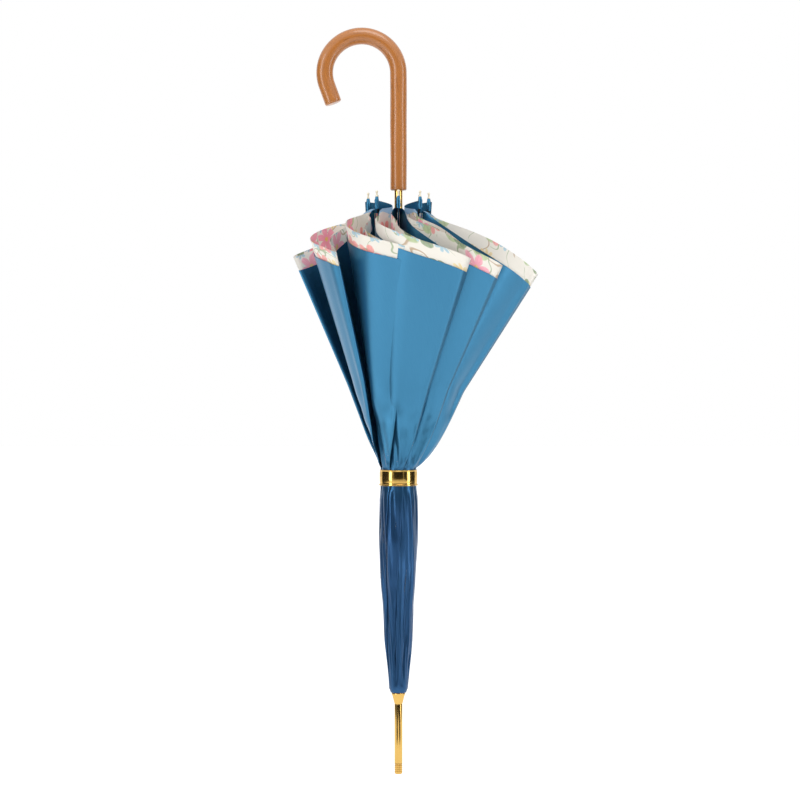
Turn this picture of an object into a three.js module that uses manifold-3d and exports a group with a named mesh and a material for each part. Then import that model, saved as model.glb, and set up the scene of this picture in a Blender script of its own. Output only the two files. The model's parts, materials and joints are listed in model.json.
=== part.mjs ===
// A long stick umbrella, closed and hanging by its crook, with its cloth gathered by a metal ring.
// Millimetres, +Z up. The shaft stands along Z, the crook bends towards -X and the ferrule points down.
// The model is drawn with z = 0 at the ferrule's end, then moved so that the origin is the point
// inside the crook where the umbrella hangs.
import * as THREE from "three";
import { mergeVertices } from "three/addons/utils/BufferGeometryUtils.js";
import Module from "manifold-3d";

const wasm = await Module();
wasm.setup();

// ---- driving dimensions ----
const GAP = 0.3;
const RIB_COUNT = 8;

const SHAFT_R = 5.0;
const SHAFT_WALL = 0.6;
const SHAFT_BOTTOM = 92.4;
const SHAFT_TOP = 766;
const BORE_R = SHAFT_R + GAP;

const CROOK_TUBE_R = 10.4;
const CROOK_R = 45.9;
const CROOK_CENTRE_Z = 872.7;
const CROOK_SWEEP = THREE.MathUtils.degToRad(200);
const CROOK_TAIL = 24;
const HANDLE_BOTTOM = 726.3;
const HANDLE_ROUND = 1.6;
const HANDLE_BORE_TOP = SHAFT_TOP + 0.6;

const HINGE_R = 7;
const CROWN_Z = 112;
const LINK = 272;
const CLOSED_ANGLE = THREE.MathUtils.degToRad(1.6);
const RUNNER_Z = CROWN_Z + 2 * LINK * Math.cos(CLOSED_ANGLE);
const NOTCH_R = 9.0;
const NOTCH_HALF = 4.2;
const TAB_THICK = 1.2;
const SLOT_WIDTH = 2.0;
const EYE_R = 0.85;
const WIRE_R = 0.45;
const RUNNER_SLEEVE_R = 6.8;
const RUNNER_SLEEVE = 44;

const RIB_LENGTH = 604;
const RIB_OFFSET = 3.8;
const RIB_OFFSET_AT_CROWN = 0.8;
const RIB_START = 9;
const RIB_BOW = 10;
const CHANNEL_WIDTH = 3.2;
const CHANNEL_DEPTH = 2.6;
const CHANNEL_WALL = 0.5;
const RIVET_R = 0.7;
const LINK_TAB_R = 1.8;
const TIP_R = 1.6;
const TIP_LENGTH = 8;

const RING_INNER_R = 22.6;
const RING_OUTER_R = 23.6;
const RING_LIP_R = 24.3;
const RING_BOTTOM = 359.0;
const RING_TOP = 378.7;
const RING_LIP = 2.2;

const CLOTH = 0.45;
const CLOTH_STEP = 1.6;
const CLOTH_BOTTOM = 101.6;
const RIB_HEM_Z = 711;
const RIB_HEM_R = 41.2;

// Radius of the gathered cloth at heights from the crown to just above the ring.
const BUNDLE = [
  [CLOTH_BOTTOM, 10.9],
  [150, 15.2],
  [216, 20.0],
  [270, 24.0],
  [335, 24.0],
  [357, 22.0],
  [381, 22.0],
];

// Where the fold of each of the eight cloth panels hangs: its azimuth from the front (-Y) towards
// the right (+X) in degrees, its distance from the shaft's axis and its height at the hem.
const FOLDS = [
  { azimuth: 55, reach: 146, height: 611 },
  { azimuth: 92, reach: 164, height: 606 },
  { azimuth: 140, reach: 142, height: 616 },
  { azimuth: 190, reach: 131, height: 620 },
  { azimuth: 252, reach: 130, height: 626 },
  { azimuth: 300, reach: 118, height: 627 },
  { azimuth: 342, reach: 110, height: 628 },
  { azimuth: 382, reach: 130, height: 619 },
];

// ---- materials ----
const metal = (color, roughness) => new THREE.MeshStandardMaterial({ color, roughness, metalness: 1 });
const plain = (color, roughness) =>
  new THREE.MeshStandardMaterial({ color, roughness, metalness: 0, side: THREE.DoubleSide });
const GOLD = metal("#e0bd72", 0.18);
const STEEL = metal("#3b3d42", 0.35);
const BRASS = metal("#b9954f", 0.3);
const WOOD = plain("#c07a38", 0.35);
const SATIN = plain("#2f78a0", 0.45);
const LINING = plain("#efeee8", 0.7);
const CREAM = plain("#ece3cf", 0.35);

// ---- directions and shapes ----
const UP = new THREE.Vector3(0, 0, 1);
const outward = (azimuth) => new THREE.Vector3(Math.sin(azimuth), -Math.cos(azimuth), 0);
const ribAzimuth = (index) => (index * 2 * Math.PI) / RIB_COUNT;

// A point at a radius, an azimuth and a height.
function polar(radius, azimuth, height) {
  return outward(azimuth).multiplyScalar(radius).setZ(height);
}

// A turned solid from [radius, height] pairs that start and end on the axis or close on themselves.
function turned(profile, segments) {
  const points = profile.map(([radius, height]) => new THREE.Vector2(radius, height));
  return new THREE.LatheGeometry(points, segments).rotateX(Math.PI / 2);
}

// A tube's wall between two heights.
function tube(inner, outer, bottom, top, segments) {
  const wall = [[inner, bottom], [outer, bottom], [outer, top], [inner, top], [inner, bottom]];
  return turned(wall, segments);
}

// A flat plate from an outline, centred on its own plane.
function plate(shape, thickness, curveSegments) {
  const settings = { depth: thickness, bevelEnabled: false, curveSegments };
  return new THREE.ExtrudeGeometry(shape, settings).translate(0, 0, -thickness / 2);
}

// Triangles that join two rows of points with the same count.
function stitch(triangles, first, second, closed) {
  const count = first.length;
  const last = closed ? count : count - 1;
  for (let i = 0; i < last; i += 1) {
    const next = (i + 1) % count;
    triangles.push(first[i], first[next], second[next]);
    triangles.push(first[i], second[next], second[i]);
  }
}

function geometryOf(triangles) {
  const values = triangles.flatMap((point) => [point.x, point.y, point.z]);
  const geometry = new THREE.BufferGeometry();
  geometry.setAttribute("position", new THREE.Float32BufferAttribute(values, 3));
  return geometry;
}

// A bar of one section along stations, each with a point and two axes for the section's x and y.
function swept(section, stations) {
  const rows = stations.map(({ at, across, out }) =>
    section.map((point) => at.clone().addScaledVector(across, point.x).addScaledVector(out, point.y)),
  );
  const triangles = [];
  for (let i = 0; i + 1 < rows.length; i += 1) {
    stitch(triangles, rows[i], rows[i + 1], true);
  }
  const cap = THREE.ShapeUtils.triangulateShape(section, []);
  const first = rows[0];
  const last = rows[rows.length - 1];
  for (const [a, b, c] of cap) {
    triangles.push(first[c], first[b], first[a]);
    triangles.push(last[a], last[b], last[c]);
  }
  return geometryOf(triangles);
}

// A thin closed sheet around a grid of points, half its thickness to each side.
function sheet(rows, thickness) {
  const front = [];
  const back = [];
  rows.forEach((row, i) => {
    const above = rows[Math.min(i + 1, rows.length - 1)];
    const below = rows[Math.max(i - 1, 0)];
    const shifted = (side) =>
      row.map((point, j) => {
        const along = above[j].clone().sub(below[j]);
        const ahead = row[Math.min(j + 1, row.length - 1)];
        const behind = row[Math.max(j - 1, 0)];
        const normal = ahead.clone().sub(behind).cross(along).normalize();
        return point.clone().addScaledVector(normal, (side * thickness) / 2);
      });
    front.push(shifted(1));
    back.push(shifted(-1));
  });
  const skin = (grid) => {
    const faces = [];
    for (let i = 0; i + 1 < grid.length; i += 1) stitch(faces, grid[i], grid[i + 1], false);
    return faces;
  };
  // The back has the front's triangles turned over, so the two never cross.
  const triangles = [...skin(front), ...skin(back).reverse()];
  const column = (grid, j) => grid.map((row) => row[j]);
  const end = rows[0].length - 1;
  const top = rows.length - 1;
  stitch(triangles, column(front, 0), column(back, 0), false);
  stitch(triangles, column(back, end), column(front, end), false);
  stitch(triangles, back[0], front[0], false);
  stitch(triangles, front[top], back[top], false);
  return geometryOf(triangles);
}

// ---- joining and cutting ----
function solid(geometry) {
  const bare = geometry.clone();
  bare.deleteAttribute("normal");
  bare.deleteAttribute("uv");
  const merged = mergeVertices(bare, 1e-4);
  const triVerts = new Uint32Array(merged.index.array);
  const vertProperties = new Float32Array(merged.attributes.position.array);
  return new wasm.Manifold(new wasm.Mesh({ numProp: 3, vertProperties, triVerts }));
}

function geometryFrom(manifold) {
  const { vertProperties, triVerts, numProp } = manifold.getMesh();
  const positions = [];
  for (let i = 0; i < vertProperties.length; i += numProp) {
    positions.push(vertProperties[i], vertProperties[i + 1], vertProperties[i + 2]);
  }
  const geometry = new THREE.BufferGeometry();
  geometry.setAttribute("position", new THREE.Float32BufferAttribute(positions, 3));
  geometry.setIndex(Array.from(triVerts));
  return geometry;
}

const joined = (...parts) => geometryFrom(parts.map(solid).reduce((whole, part) => whole.add(part)));
const cut = (body, ...tools) =>
  geometryFrom(tools.map(solid).reduce((whole, tool) => whole.subtract(tool), solid(body)));

// ---- assembly ----
const model = new THREE.Group();
model.position.set(CROOK_R, 0, -(CROOK_CENTRE_Z + CROOK_R - CROOK_TUBE_R));

function add(name, geometry, material) {
  const mesh = new THREE.Mesh(geometry, material);
  mesh.name = name;
  model.add(mesh);
  return mesh;
}

// ---- handle and shaft ----
// The crook's centre line: up the shaft, over a little more than half a circle, then a short tail.
function crookStations() {
  const side = new THREE.Vector3(0, 1, 0);
  const stations = [];
  const station = (x, z, turn, radius) => {
    const at = new THREE.Vector3(x, 0, z);
    const across = new THREE.Vector3(Math.cos(turn), 0, Math.sin(turn)).multiplyScalar(radius);
    stations.push({ at, across, out: side.clone().multiplyScalar(radius) });
  };
  station(0, HANDLE_BOTTOM, 0, CROOK_TUBE_R - HANDLE_ROUND);
  station(0, HANDLE_BOTTOM + HANDLE_ROUND, 0, CROOK_TUBE_R);
  const steps = 20;
  for (let i = 0; i <= steps; i += 1) {
    const turn = (CROOK_SWEEP * i) / steps;
    const x = -CROOK_R + CROOK_R * Math.cos(turn);
    station(x, CROOK_CENTRE_Z + CROOK_R * Math.sin(turn), turn, CROOK_TUBE_R);
  }
  const last = stations[stations.length - 1].at;
  const tail = (length, radius) => {
    const x = last.x - length * Math.sin(CROOK_SWEEP);
    station(x, last.z + length * Math.cos(CROOK_SWEEP), CROOK_SWEEP, radius);
  };
  tail(CROOK_TAIL - HANDLE_ROUND, CROOK_TUBE_R);
  tail(CROOK_TAIL, CROOK_TUBE_R - HANDLE_ROUND);
  return stations;
}

const CIRCLE_SIDES = 16;
const unitCircle = Array.from({ length: CIRCLE_SIDES }, (_, i) => {
  const turn = (i * 2 * Math.PI) / CIRCLE_SIDES;
  return new THREE.Vector2(Math.cos(turn), Math.sin(turn));
});
const handleBore = [
  [0, HANDLE_BOTTOM - 5],
  [BORE_R, HANDLE_BOTTOM - 5],
  [BORE_R, HANDLE_BORE_TOP],
  [0, HANDLE_BORE_TOP],
];
add("handle", cut(swept(unitCircle, crookStations()), turned(handleBore, 20)), WOOD);

// A box standing across the shaft's wall on the +Y side.
function wallBox(width, inner, outer, bottom, top) {
  const box = new THREE.BoxGeometry(width, outer - inner, top - bottom);
  return box.translate(0, (outer + inner) / 2, (bottom + top) / 2);
}

// The two leaf catches stand out of slots in the shaft: one holds the runner when the umbrella is
// closed, the other stops it when the umbrella is open.
const CATCH_WIDTH = 1.4;
const CATCH_PROUD = 2.6;
const CATCH_LENGTH = 11;
const OPEN_CATCH_Z = 413;
const CLOSED_CATCH_Z = RUNNER_Z + 24;
const catchSlot = (z) => wallBox(CATCH_WIDTH + 2 * GAP, 2, 7, z - GAP, z + CATCH_LENGTH + GAP);
const STOP_PIN_Z = 359;
const STOP_PIN_R = 0.9;
const STOP_PIN_LENGTH = 13;
const stopPin = (radius) =>
  new THREE.CylinderGeometry(radius, radius, STOP_PIN_LENGTH, 12).rotateZ(Math.PI / 2).translate(0, 0, STOP_PIN_Z);
const shaftTube = tube(SHAFT_R - SHAFT_WALL, SHAFT_R, SHAFT_BOTTOM, SHAFT_TOP, 24);
add("shaft", cut(shaftTube, catchSlot(OPEN_CATCH_Z), catchSlot(CLOSED_CATCH_Z), stopPin(STOP_PIN_R + GAP)), GOLD);
add("stop_pin", stopPin(STOP_PIN_R), BRASS);

// A leaf catch: a thin plate with a square shoulder towards `shoulder` and a slope the other way.
function leafCatch(z, shoulderUp) {
  const inner = 3.2;
  const outer = SHAFT_R + CATCH_PROUD;
  const low = shoulderUp ? inner + 0.6 : outer;
  const high = shoulderUp ? outer : inner + 0.6;
  const shape = new THREE.Shape([
    new THREE.Vector2(inner, 0),
    new THREE.Vector2(low, 0),
    new THREE.Vector2(high, CATCH_LENGTH),
    new THREE.Vector2(inner, CATCH_LENGTH),
  ]);
  return plate(shape, CATCH_WIDTH, 1).rotateX(Math.PI / 2).rotateZ(Math.PI / 2).translate(0, 0, z);
}
add("open_catch", leafCatch(OPEN_CATCH_Z, false), STEEL);
add("closed_catch", leafCatch(CLOSED_CATCH_Z, true), STEEL);

// ---- ferrule ----
const FERRULE_TOP = 87;
const SPIGOT_R = SHAFT_R - SHAFT_WALL - GAP;
const TIP_TOP = 13;
const TIP_SPIGOT_R = 2.6;
const TIP_SPIGOT_TOP = 20;
const GROOVES = 3;
const ferrule = [
  [0, TIP_SPIGOT_TOP + GAP],
  [TIP_SPIGOT_R + GAP, TIP_SPIGOT_TOP + GAP],
  [TIP_SPIGOT_R + GAP, TIP_TOP + GAP],
  [SHAFT_R, TIP_TOP + GAP],
  [SHAFT_R, FERRULE_TOP],
  [SPIGOT_R, FERRULE_TOP],
  [SPIGOT_R, CROWN_Z - 4],
  [0, CROWN_Z - 4],
];
add("ferrule_tube", turned(ferrule, 24), GOLD);

const tip = [[0, 0], [3.2, 0], [4.5, 0.9]];
for (let i = 0; i < GROOVES; i += 1) {
  const z = 1.8 + i * 3.2;
  tip.push([SHAFT_R, z], [SHAFT_R, z + 2], [SHAFT_R - 0.5, z + 2.3], [SHAFT_R - 0.5, z + 2.9]);
}
tip.push([SHAFT_R, TIP_TOP - 0.4], [SHAFT_R, TIP_TOP], [TIP_SPIGOT_R, TIP_TOP]);
tip.push([TIP_SPIGOT_R, TIP_SPIGOT_TOP], [0, TIP_SPIGOT_TOP]);
add("ferrule_tip", turned(tip, 16), GOLD);

const COLLAR_BOTTOM = FERRULE_TOP + GAP;
const COLLAR_TOP = 100.9;
const COLLAR_R = 8.8;
const COLLAR_STEP_Z = SHAFT_BOTTOM - GAP;
const collar = [
  [SPIGOT_R + GAP, COLLAR_BOTTOM],
  [SHAFT_R, COLLAR_BOTTOM],
  [COLLAR_R, COLLAR_TOP - 1],
  [COLLAR_R, COLLAR_TOP],
  [BORE_R, COLLAR_TOP],
  [BORE_R, COLLAR_STEP_Z],
  [SPIGOT_R + GAP, COLLAR_STEP_Z],
  [SPIGOT_R + GAP, COLLAR_BOTTOM],
];
add("ferrule_collar", turned(collar, 24), GOLD);

// ---- crown and runner ----
// A notched collar at a hinge height. Its slots are open outwards and towards `side` (1 is up),
// and a groove on that side holds the ring of wire that the ribs or stretchers turn on.
function notch(hingeZ, side, extra) {
  const floor = hingeZ - side * NOTCH_HALF;
  const face = hingeZ + side * NOTCH_HALF;
  const body = [
    [BORE_R, floor],
    [NOTCH_R, floor],
    [NOTCH_R, face],
    [BORE_R, face],
    [BORE_R, floor],
  ];
  if (side < 0) {
    body.reverse();
  }
  const groove = tube(HINGE_R - WIRE_R - GAP, HINGE_R + WIRE_R + GAP, hingeZ - 1, hingeZ + 6, 32);
  if (side < 0) {
    groove.translate(0, 0, -5);
  }
  const slots = Array.from({ length: RIB_COUNT }, (_, i) => {
    const box = new THREE.BoxGeometry(SLOT_WIDTH, 8, 8);
    box.translate(0, -(HINGE_R + 2.2), hingeZ + side * 1.7);
    return box.rotateZ(ribAzimuth(i));
  });
  const whole = extra ? joined(turned(body, 32), extra) : turned(body, 32);
  return cut(whole, groove, ...slots);
}
add("crown", notch(CROWN_Z, 1), BRASS);

const wireRing = (z) => new THREE.TorusGeometry(HINGE_R, WIRE_R, 5, 24).translate(0, 0, z);
add("crown_wire", wireRing(CROWN_Z), STEEL);

const sleeveTop = RUNNER_Z + RUNNER_SLEEVE;
const sleeve = tube(BORE_R, RUNNER_SLEEVE_R, RUNNER_Z + 2, sleeveTop, 32);
const sleeveWindow = wallBox(CATCH_WIDTH + 4 * GAP, 4, 8, CLOSED_CATCH_Z - GAP, CLOSED_CATCH_Z + CATCH_LENGTH + GAP);
add("runner", cut(notch(RUNNER_Z, -1, sleeve), sleeveWindow), GOLD);
add("runner_wire", wireRing(RUNNER_Z), STEEL);

// ---- ribs and stretchers ----
// Both are drawn in the front plane, with `along` up and `out` away from the shaft, and turned
// about the shaft to their place.
const SIDE = new THREE.Vector3(-1, 0, 0);

// A U-shaped channel, open towards the shaft when `openIn` is true.
function channelSection(openIn) {
  const half = CHANNEL_WIDTH / 2;
  const depth = CHANNEL_DEPTH / 2;
  const wall = CHANNEL_WALL;
  const points = [
    [-half, -depth],
    [-half + wall, -depth],
    [-half + wall, depth - wall],
    [half - wall, depth - wall],
    [half - wall, -depth],
    [half, -depth],
    [half, depth],
    [-half, depth],
  ];
  const flip = openIn ? 1 : -1;
  const section = points.map(([x, y]) => new THREE.Vector2(x, flip * y));
  return openIn ? section : section.reverse();
}

// A flat strip with round ends between two points of the front plane, with an eye at its start.
function eyeTab(start, end, radius, eye) {
  const direction = Math.atan2(end.y - start.y, end.x - start.x);
  const shape = new THREE.Shape();
  shape.absarc(start.x, start.y, radius, direction + Math.PI / 2, direction + (3 * Math.PI) / 2, false);
  shape.absarc(end.x, end.y, radius * 0.8, direction - Math.PI / 2, direction + Math.PI / 2, false);
  const hole = new THREE.Path().absarc(start.x, start.y, eye, 0, 2 * Math.PI, true);
  shape.holes.push(hole);
  return plate(shape, TAB_THICK, 3).rotateX(Math.PI / 2).rotateZ(-Math.PI / 2);
}

// A point of the front plane as [distance from the axis, height], tilted off the closed hinge.
function linkPoint(distance, offset) {
  const sin = Math.sin(CLOSED_ANGLE);
  const cos = Math.cos(CLOSED_ANGLE);
  const bow = RIB_BOW * Math.max(0, (distance - LINK) / (RIB_LENGTH - LINK)) ** 2;
  const out = offset + bow;
  return new THREE.Vector2(HINGE_R + distance * sin + out * cos, CROWN_Z + distance * cos - out * sin);
}
const ribOffset = (distance) =>
  RIB_OFFSET_AT_CROWN + (RIB_OFFSET - RIB_OFFSET_AT_CROWN) * Math.min(1, distance / (LINK - 20));
const ribPoint = (distance) => linkPoint(distance, ribOffset(distance));
const inSpace = (point) => new THREE.Vector3(0, -point.x, point.y);

// Stations along a line of front-plane points.
function planeStations(points) {
  return points.map((point, i) => {
    const ahead = points[Math.min(i + 1, points.length - 1)];
    const behind = points[Math.max(i - 1, 0)];
    const along = ahead.clone().sub(behind).normalize();
    const out = new THREE.Vector3(0, -along.y, -along.x);
    return { at: inSpace(point), across: SIDE, out };
  });
}

function ribShape() {
  const distances = [RIB_START, LINK - 20, LINK];
  const bowed = 3;
  for (let i = 1; i <= bowed; i += 1) {
    distances.push(LINK + ((RIB_LENGTH - LINK) * i) / bowed);
  }
  const channel = swept(channelSection(true), planeStations(distances.map(ribPoint)));
  const crownTab = eyeTab(linkPoint(0, 0), ribPoint(RIB_START + 3), 1.6, EYE_R);
  const linkTab = eyeTab(linkPoint(LINK, 0), ribPoint(LINK), LINK_TAB_R, RIVET_R + GAP);
  return joined(channel, crownTab, linkTab);
}

function stretcherShape() {
  const pivot = linkPoint(LINK, 0);
  const runnerEye = new THREE.Vector2(HINGE_R, RUNNER_Z);
  const direction = runnerEye.clone().sub(pivot).normalize();
  const at = (distance) => pivot.clone().addScaledVector(direction, distance);
  const ends = [at(-1.5), at(LINK - RIB_START)];
  const channel = swept(channelSection(false), planeStations(ends));
  const tab = eyeTab(runnerEye, at(LINK - RIB_START - 3), 1.6, EYE_R);
  const pin = (radius, length) =>
    new THREE.CylinderGeometry(radius, radius, length, 12).rotateZ(Math.PI / 2).translate(0, -pivot.x, pivot.y);
  const forked = cut(channel, pin(LINK_TAB_R + GAP, CHANNEL_WIDTH - 2 * CHANNEL_WALL));
  return joined(forked, tab, pin(RIVET_R, CHANNEL_WIDTH + 0.6));
}

// The bead that ends each rib, with the cloth's corner stitched to it.
function ribTipShape() {
  const end = ribPoint(RIB_LENGTH + GAP);
  const bead = [
    [0, 0],
    [TIP_R * 0.7, 0],
    [TIP_R, 1.2],
    [TIP_R * 0.75, 3],
    [TIP_R * 0.75, 4.6],
    [TIP_R, 6.2],
    [TIP_R * 0.7, TIP_LENGTH],
    [0, TIP_LENGTH],
  ];
  return turned(bead, 8).translate(0, -end.x, end.y);
}

const rib = ribShape();
const stretcher = stretcherShape();
const ribTip = ribTipShape();
for (let i = 0; i < RIB_COUNT; i += 1) {
  const turn = ribAzimuth(i);
  add(`rib_${i + 1}`, rib, STEEL).rotation.z = turn;
  add(`stretcher_${i + 1}`, stretcher, STEEL).rotation.z = turn;
  add(`rib_tip_${i + 1}`, ribTip, CREAM).rotation.z = turn;
}

// ---- ring ----
const ring = [
  [RING_INNER_R, RING_BOTTOM],
  [RING_LIP_R, RING_BOTTOM],
  [RING_LIP_R, RING_BOTTOM + RING_LIP],
  [RING_OUTER_R, RING_BOTTOM + RING_LIP],
  [RING_OUTER_R, RING_TOP],
  [RING_INNER_R, RING_TOP],
  [RING_INNER_R, RING_BOTTOM],
];
add("ring", turned(ring, 40), GOLD);

// ---- cloth panels ----
// Each panel runs from one rib out to its fold and back to the next rib. Up to the ring it lies on
// the bundle; above the ring straight lines lead from the bundle to the hem.
const ACROSS = [0, 0.15, 0.45, 0.8, 1];
const TWIST = THREE.MathUtils.degToRad(0.14);
const HEM_BEND = 0.5;
const NECK_R = 21.8;
const NECK_SHOULDER = 6;
const FLARE_STEPS = [0.05, 0.1, 0.17, 0.3, 0.6, 1];
const OUTER = { inset: 0, edgeTurn: 0.035, neckHalf: 4.2, hemHalf: 5.5, foldBack: 0 };
const INNER = { inset: CLOTH_STEP, edgeTurn: 0.12, neckHalf: 0.5, hemHalf: 1.6, foldBack: 0.1 };

// A panel's loop in plan at a part of the way up the flare: out from the ribs, curving towards the
// fold, and back. The lining's loop is narrower and shorter, so it lies inside the outer cloth's.
function loopPoint(panel, side, reach, layer, rise) {
  const fold = FOLDS[panel];
  const mix = (low, high) => THREE.MathUtils.lerp(low, high, rise);
  const middle = ribAzimuth(panel) + Math.PI / RIB_COUNT;
  const step = Math.PI / RIB_COUNT - layer.edgeTurn;
  const radius = mix(NECK_R, RIB_HEM_R);
  const root = outward(middle).multiplyScalar(radius * Math.cos(step));
  const neckFold = outward(middle).multiplyScalar(NECK_R + NECK_SHOULDER);
  const hemFold = outward(THREE.MathUtils.degToRad(fold.azimuth)).multiplyScalar(fold.reach);
  const foldPoint = neckFold.lerp(hemFold, rise);
  const bend = outward(middle).multiplyScalar(radius + HEM_BEND * (foldPoint.length() - radius));
  const path = new THREE.QuadraticBezierCurve3(root, bend, foldPoint);
  const along = Math.min(reach, 1 - layer.foldBack);
  const normal = UP.clone().cross(path.getTangent(along));
  const half = mix(layer.neckHalf, layer.hemHalf);
  const width = (radius * Math.sin(step) - half) * (1 - reach) ** 3 + half * Math.sqrt(1 - reach ** 4);
  const point = path.getPoint(along).addScaledVector(normal, side * width);
  point.addScaledVector(outward(middle), -layer.inset * mix(1, (1 - reach) ** 3));
  const neckTop = BUNDLE[BUNDLE.length - 1][0];
  return point.setZ(mix(neckTop, THREE.MathUtils.lerp(RIB_HEM_Z, fold.height, along)));
}

// A point of the bundle, with the cloth's two layers a step apart.
function bundlePoint(panel, side, reach, layer, radius, height) {
  const middle = ribAzimuth(panel) + Math.PI / RIB_COUNT;
  const step = Math.PI / RIB_COUNT - layer.edgeTurn;
  const twist = TWIST * Math.max(0, RING_BOTTOM - height);
  return polar(radius - layer.inset, middle + side * step * (1 - reach) - twist, height);
}

function panelRows(panel, layer) {
  const across = [
    ...ACROSS.map((reach) => [-1, reach]),
    ...ACROSS.slice(0, -1).reverse().map((reach) => [1, reach]),
  ];
  const rows = BUNDLE.map(([height, radius]) =>
    across.map(([side, reach]) => bundlePoint(panel, side, reach, layer, radius - CLOTH / 2, height)),
  );
  for (const rise of FLARE_STEPS) {
    rows.push(across.map(([side, reach]) => loopPoint(panel, side, reach, layer, rise)));
  }
  return rows;
}

for (let i = 0; i < RIB_COUNT; i += 1) {
  add(`outer_gore_${i + 1}`, sheet(panelRows(i, OUTER), CLOTH), SATIN);
  add(`lining_gore_${i + 1}`, sheet(panelRows(i, INNER), CLOTH), LINING);
}

export default model;
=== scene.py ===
"""A closed stick umbrella hanging by its crook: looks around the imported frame. Metres, +Z up."""
import json
import math

import bmesh
import bpy
import numpy as np
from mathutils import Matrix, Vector


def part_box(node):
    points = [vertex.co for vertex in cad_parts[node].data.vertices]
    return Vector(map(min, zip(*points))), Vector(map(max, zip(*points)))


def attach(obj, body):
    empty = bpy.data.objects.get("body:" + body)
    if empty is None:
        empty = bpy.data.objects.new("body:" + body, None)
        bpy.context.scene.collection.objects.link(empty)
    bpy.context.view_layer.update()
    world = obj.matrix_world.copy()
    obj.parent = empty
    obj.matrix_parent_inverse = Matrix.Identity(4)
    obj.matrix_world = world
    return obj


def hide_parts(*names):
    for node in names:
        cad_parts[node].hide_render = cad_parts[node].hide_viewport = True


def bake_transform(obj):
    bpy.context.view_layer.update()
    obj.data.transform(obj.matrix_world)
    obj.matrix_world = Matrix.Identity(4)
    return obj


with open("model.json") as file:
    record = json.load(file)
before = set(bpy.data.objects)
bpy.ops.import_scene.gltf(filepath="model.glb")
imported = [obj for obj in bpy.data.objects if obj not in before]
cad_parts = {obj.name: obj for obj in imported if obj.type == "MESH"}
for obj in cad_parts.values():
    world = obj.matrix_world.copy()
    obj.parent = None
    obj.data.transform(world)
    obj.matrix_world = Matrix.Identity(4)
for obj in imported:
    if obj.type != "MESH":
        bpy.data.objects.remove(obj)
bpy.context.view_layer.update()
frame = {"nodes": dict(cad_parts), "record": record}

# ---- driving values, in millimetres above the ferrule's end and away from the shaft's axis ----
MM = 0.001
mounts = {mount["name"]: mount["pos_m"] for mount in frame["record"]["mounts"]}
AXIS = np.array(mounts["ferrule_end"])
RIBS = 8
HALF_STEP = math.pi / RIBS

SHAFT_R = 5.0
CROOK_TUBE_R = 10.4
CROOK_R = 45.9
CROOK_CENTRE_Z = 872.7
CROOK_SWEEP = math.radians(200)
CROOK_TAIL = 24.0
HANDLE_BOTTOM = 726.3

RING_BOTTOM, RING_TOP = 359.0, 378.7
RING_INNER_R, RING_OUTER_R, RING_LIP_R = 22.6, 23.6, 24.3

CLOTH_BOTTOM = 101.8
NECK_Z = 381.0
NECK_R = 22.1
HEM_Z = 712.0
HEM_R = 40.6
TWIST = math.radians(0.17)
OVERLAP = math.radians(16)
RIB_CLOTH_LENGTH = 0.612
HALF_PANEL_HEM = 0.201
CUT_HALF_ANGLE = math.asin(HALF_PANEL_HEM / RIB_CLOTH_LENGTH)
# how deep each layer's hem curves in between two ribs, in metres
HEM_SCALLOP = {"satin": 0.036, "lining": 0.022}

# the bundle's radius at heights from the crown to the ring
BUNDLE_Z = (101.8, 104, 135, 167, 216, 241, 291, 343, 357, 381)
BUNDLE_R = (9.6, 11.4, 14.0, 17.0, 19.6, 22.3, 24.6, 24.2, 22.2, 22.2)

# each panel's fold at the hem: azimuth from the front towards the right, distance from the shaft,
# height, and how far its shoulder puffs out above the ring
FOLDS = (
    (55, 146, 611, 6),
    (92, 165, 606, 9),
    (140, 142, 616, 5),
    (194, 130, 621, 3),
    (266, 125, 627, 3),
    (322, 116, 626, 3),
    (370, 106, 628, 4),
    (399, 131, 618, 4),
)

# half the width of each panel's loop at the hem, beyond its width at the ring
LOOP_WIDTHS = (6, 7, 8, 8, 7, 12, 9, 9)


def to_row(points):
    """Millimetre points about the shaft's axis, in the row frame."""
    return np.asarray(points, float) * MM + AXIS


def smoothstep(low, high, value):
    share = np.clip((value - low) / (high - low), 0.0, 1.0)
    return share * share * (3 - 2 * share)


# ---- camera, light and floor ----
CAMERA_DISTANCE = 2.6
FRAME_HEIGHT = 0.996
SENSOR = 36.0
VIEW_Z = 465.4
VIEW_X = 1.9


def add_camera():
    data = bpy.data.cameras.new("camera")
    data.sensor_width = SENSOR
    data.lens = SENSOR * CAMERA_DISTANCE / FRAME_HEIGHT
    camera = bpy.data.objects.new("camera", data)
    camera.location = Vector(to_row((VIEW_X, 0, VIEW_Z))) + Vector((0, -CAMERA_DISTANCE, 0))
    camera.rotation_euler = (math.pi / 2, 0, 0)
    bpy.context.scene.collection.objects.link(camera)
    bpy.context.scene.camera = camera


def area_light(name, place, aim, size, power, colour=(1, 1, 1)):
    data = bpy.data.lights.new(name, "AREA")
    data.shape = "RECTANGLE"
    data.size, data.size_y = size
    data.energy = power
    data.color = colour
    light = bpy.data.objects.new(name, data)
    light.location = place
    light.rotation_euler = (Vector(aim) - Vector(place)).to_track_quat("-Z", "Y").to_euler()
    bpy.context.scene.collection.objects.link(light)


def stage_plane(name, corners, colour, glow=0.0):
    mesh = bpy.data.meshes.new(name)
    mesh.from_pydata([tuple(corner) for corner in corners], [], [(0, 1, 2, 3)])
    plane = bpy.data.objects.new(name, mesh)
    bpy.context.scene.collection.objects.link(plane)
    material = bpy.data.materials.new(name)
    material.use_nodes = True
    shader = material.node_tree.nodes["Principled BSDF"]
    shader.inputs["Base Color"].default_value = (*colour, 1)
    shader.inputs["Roughness"].default_value = 0.95
    shader.inputs["Emission Color"].default_value = (1, 1, 1, 1)
    shader.inputs["Emission Strength"].default_value = glow
    mesh.materials.append(material)
    return plane


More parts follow.
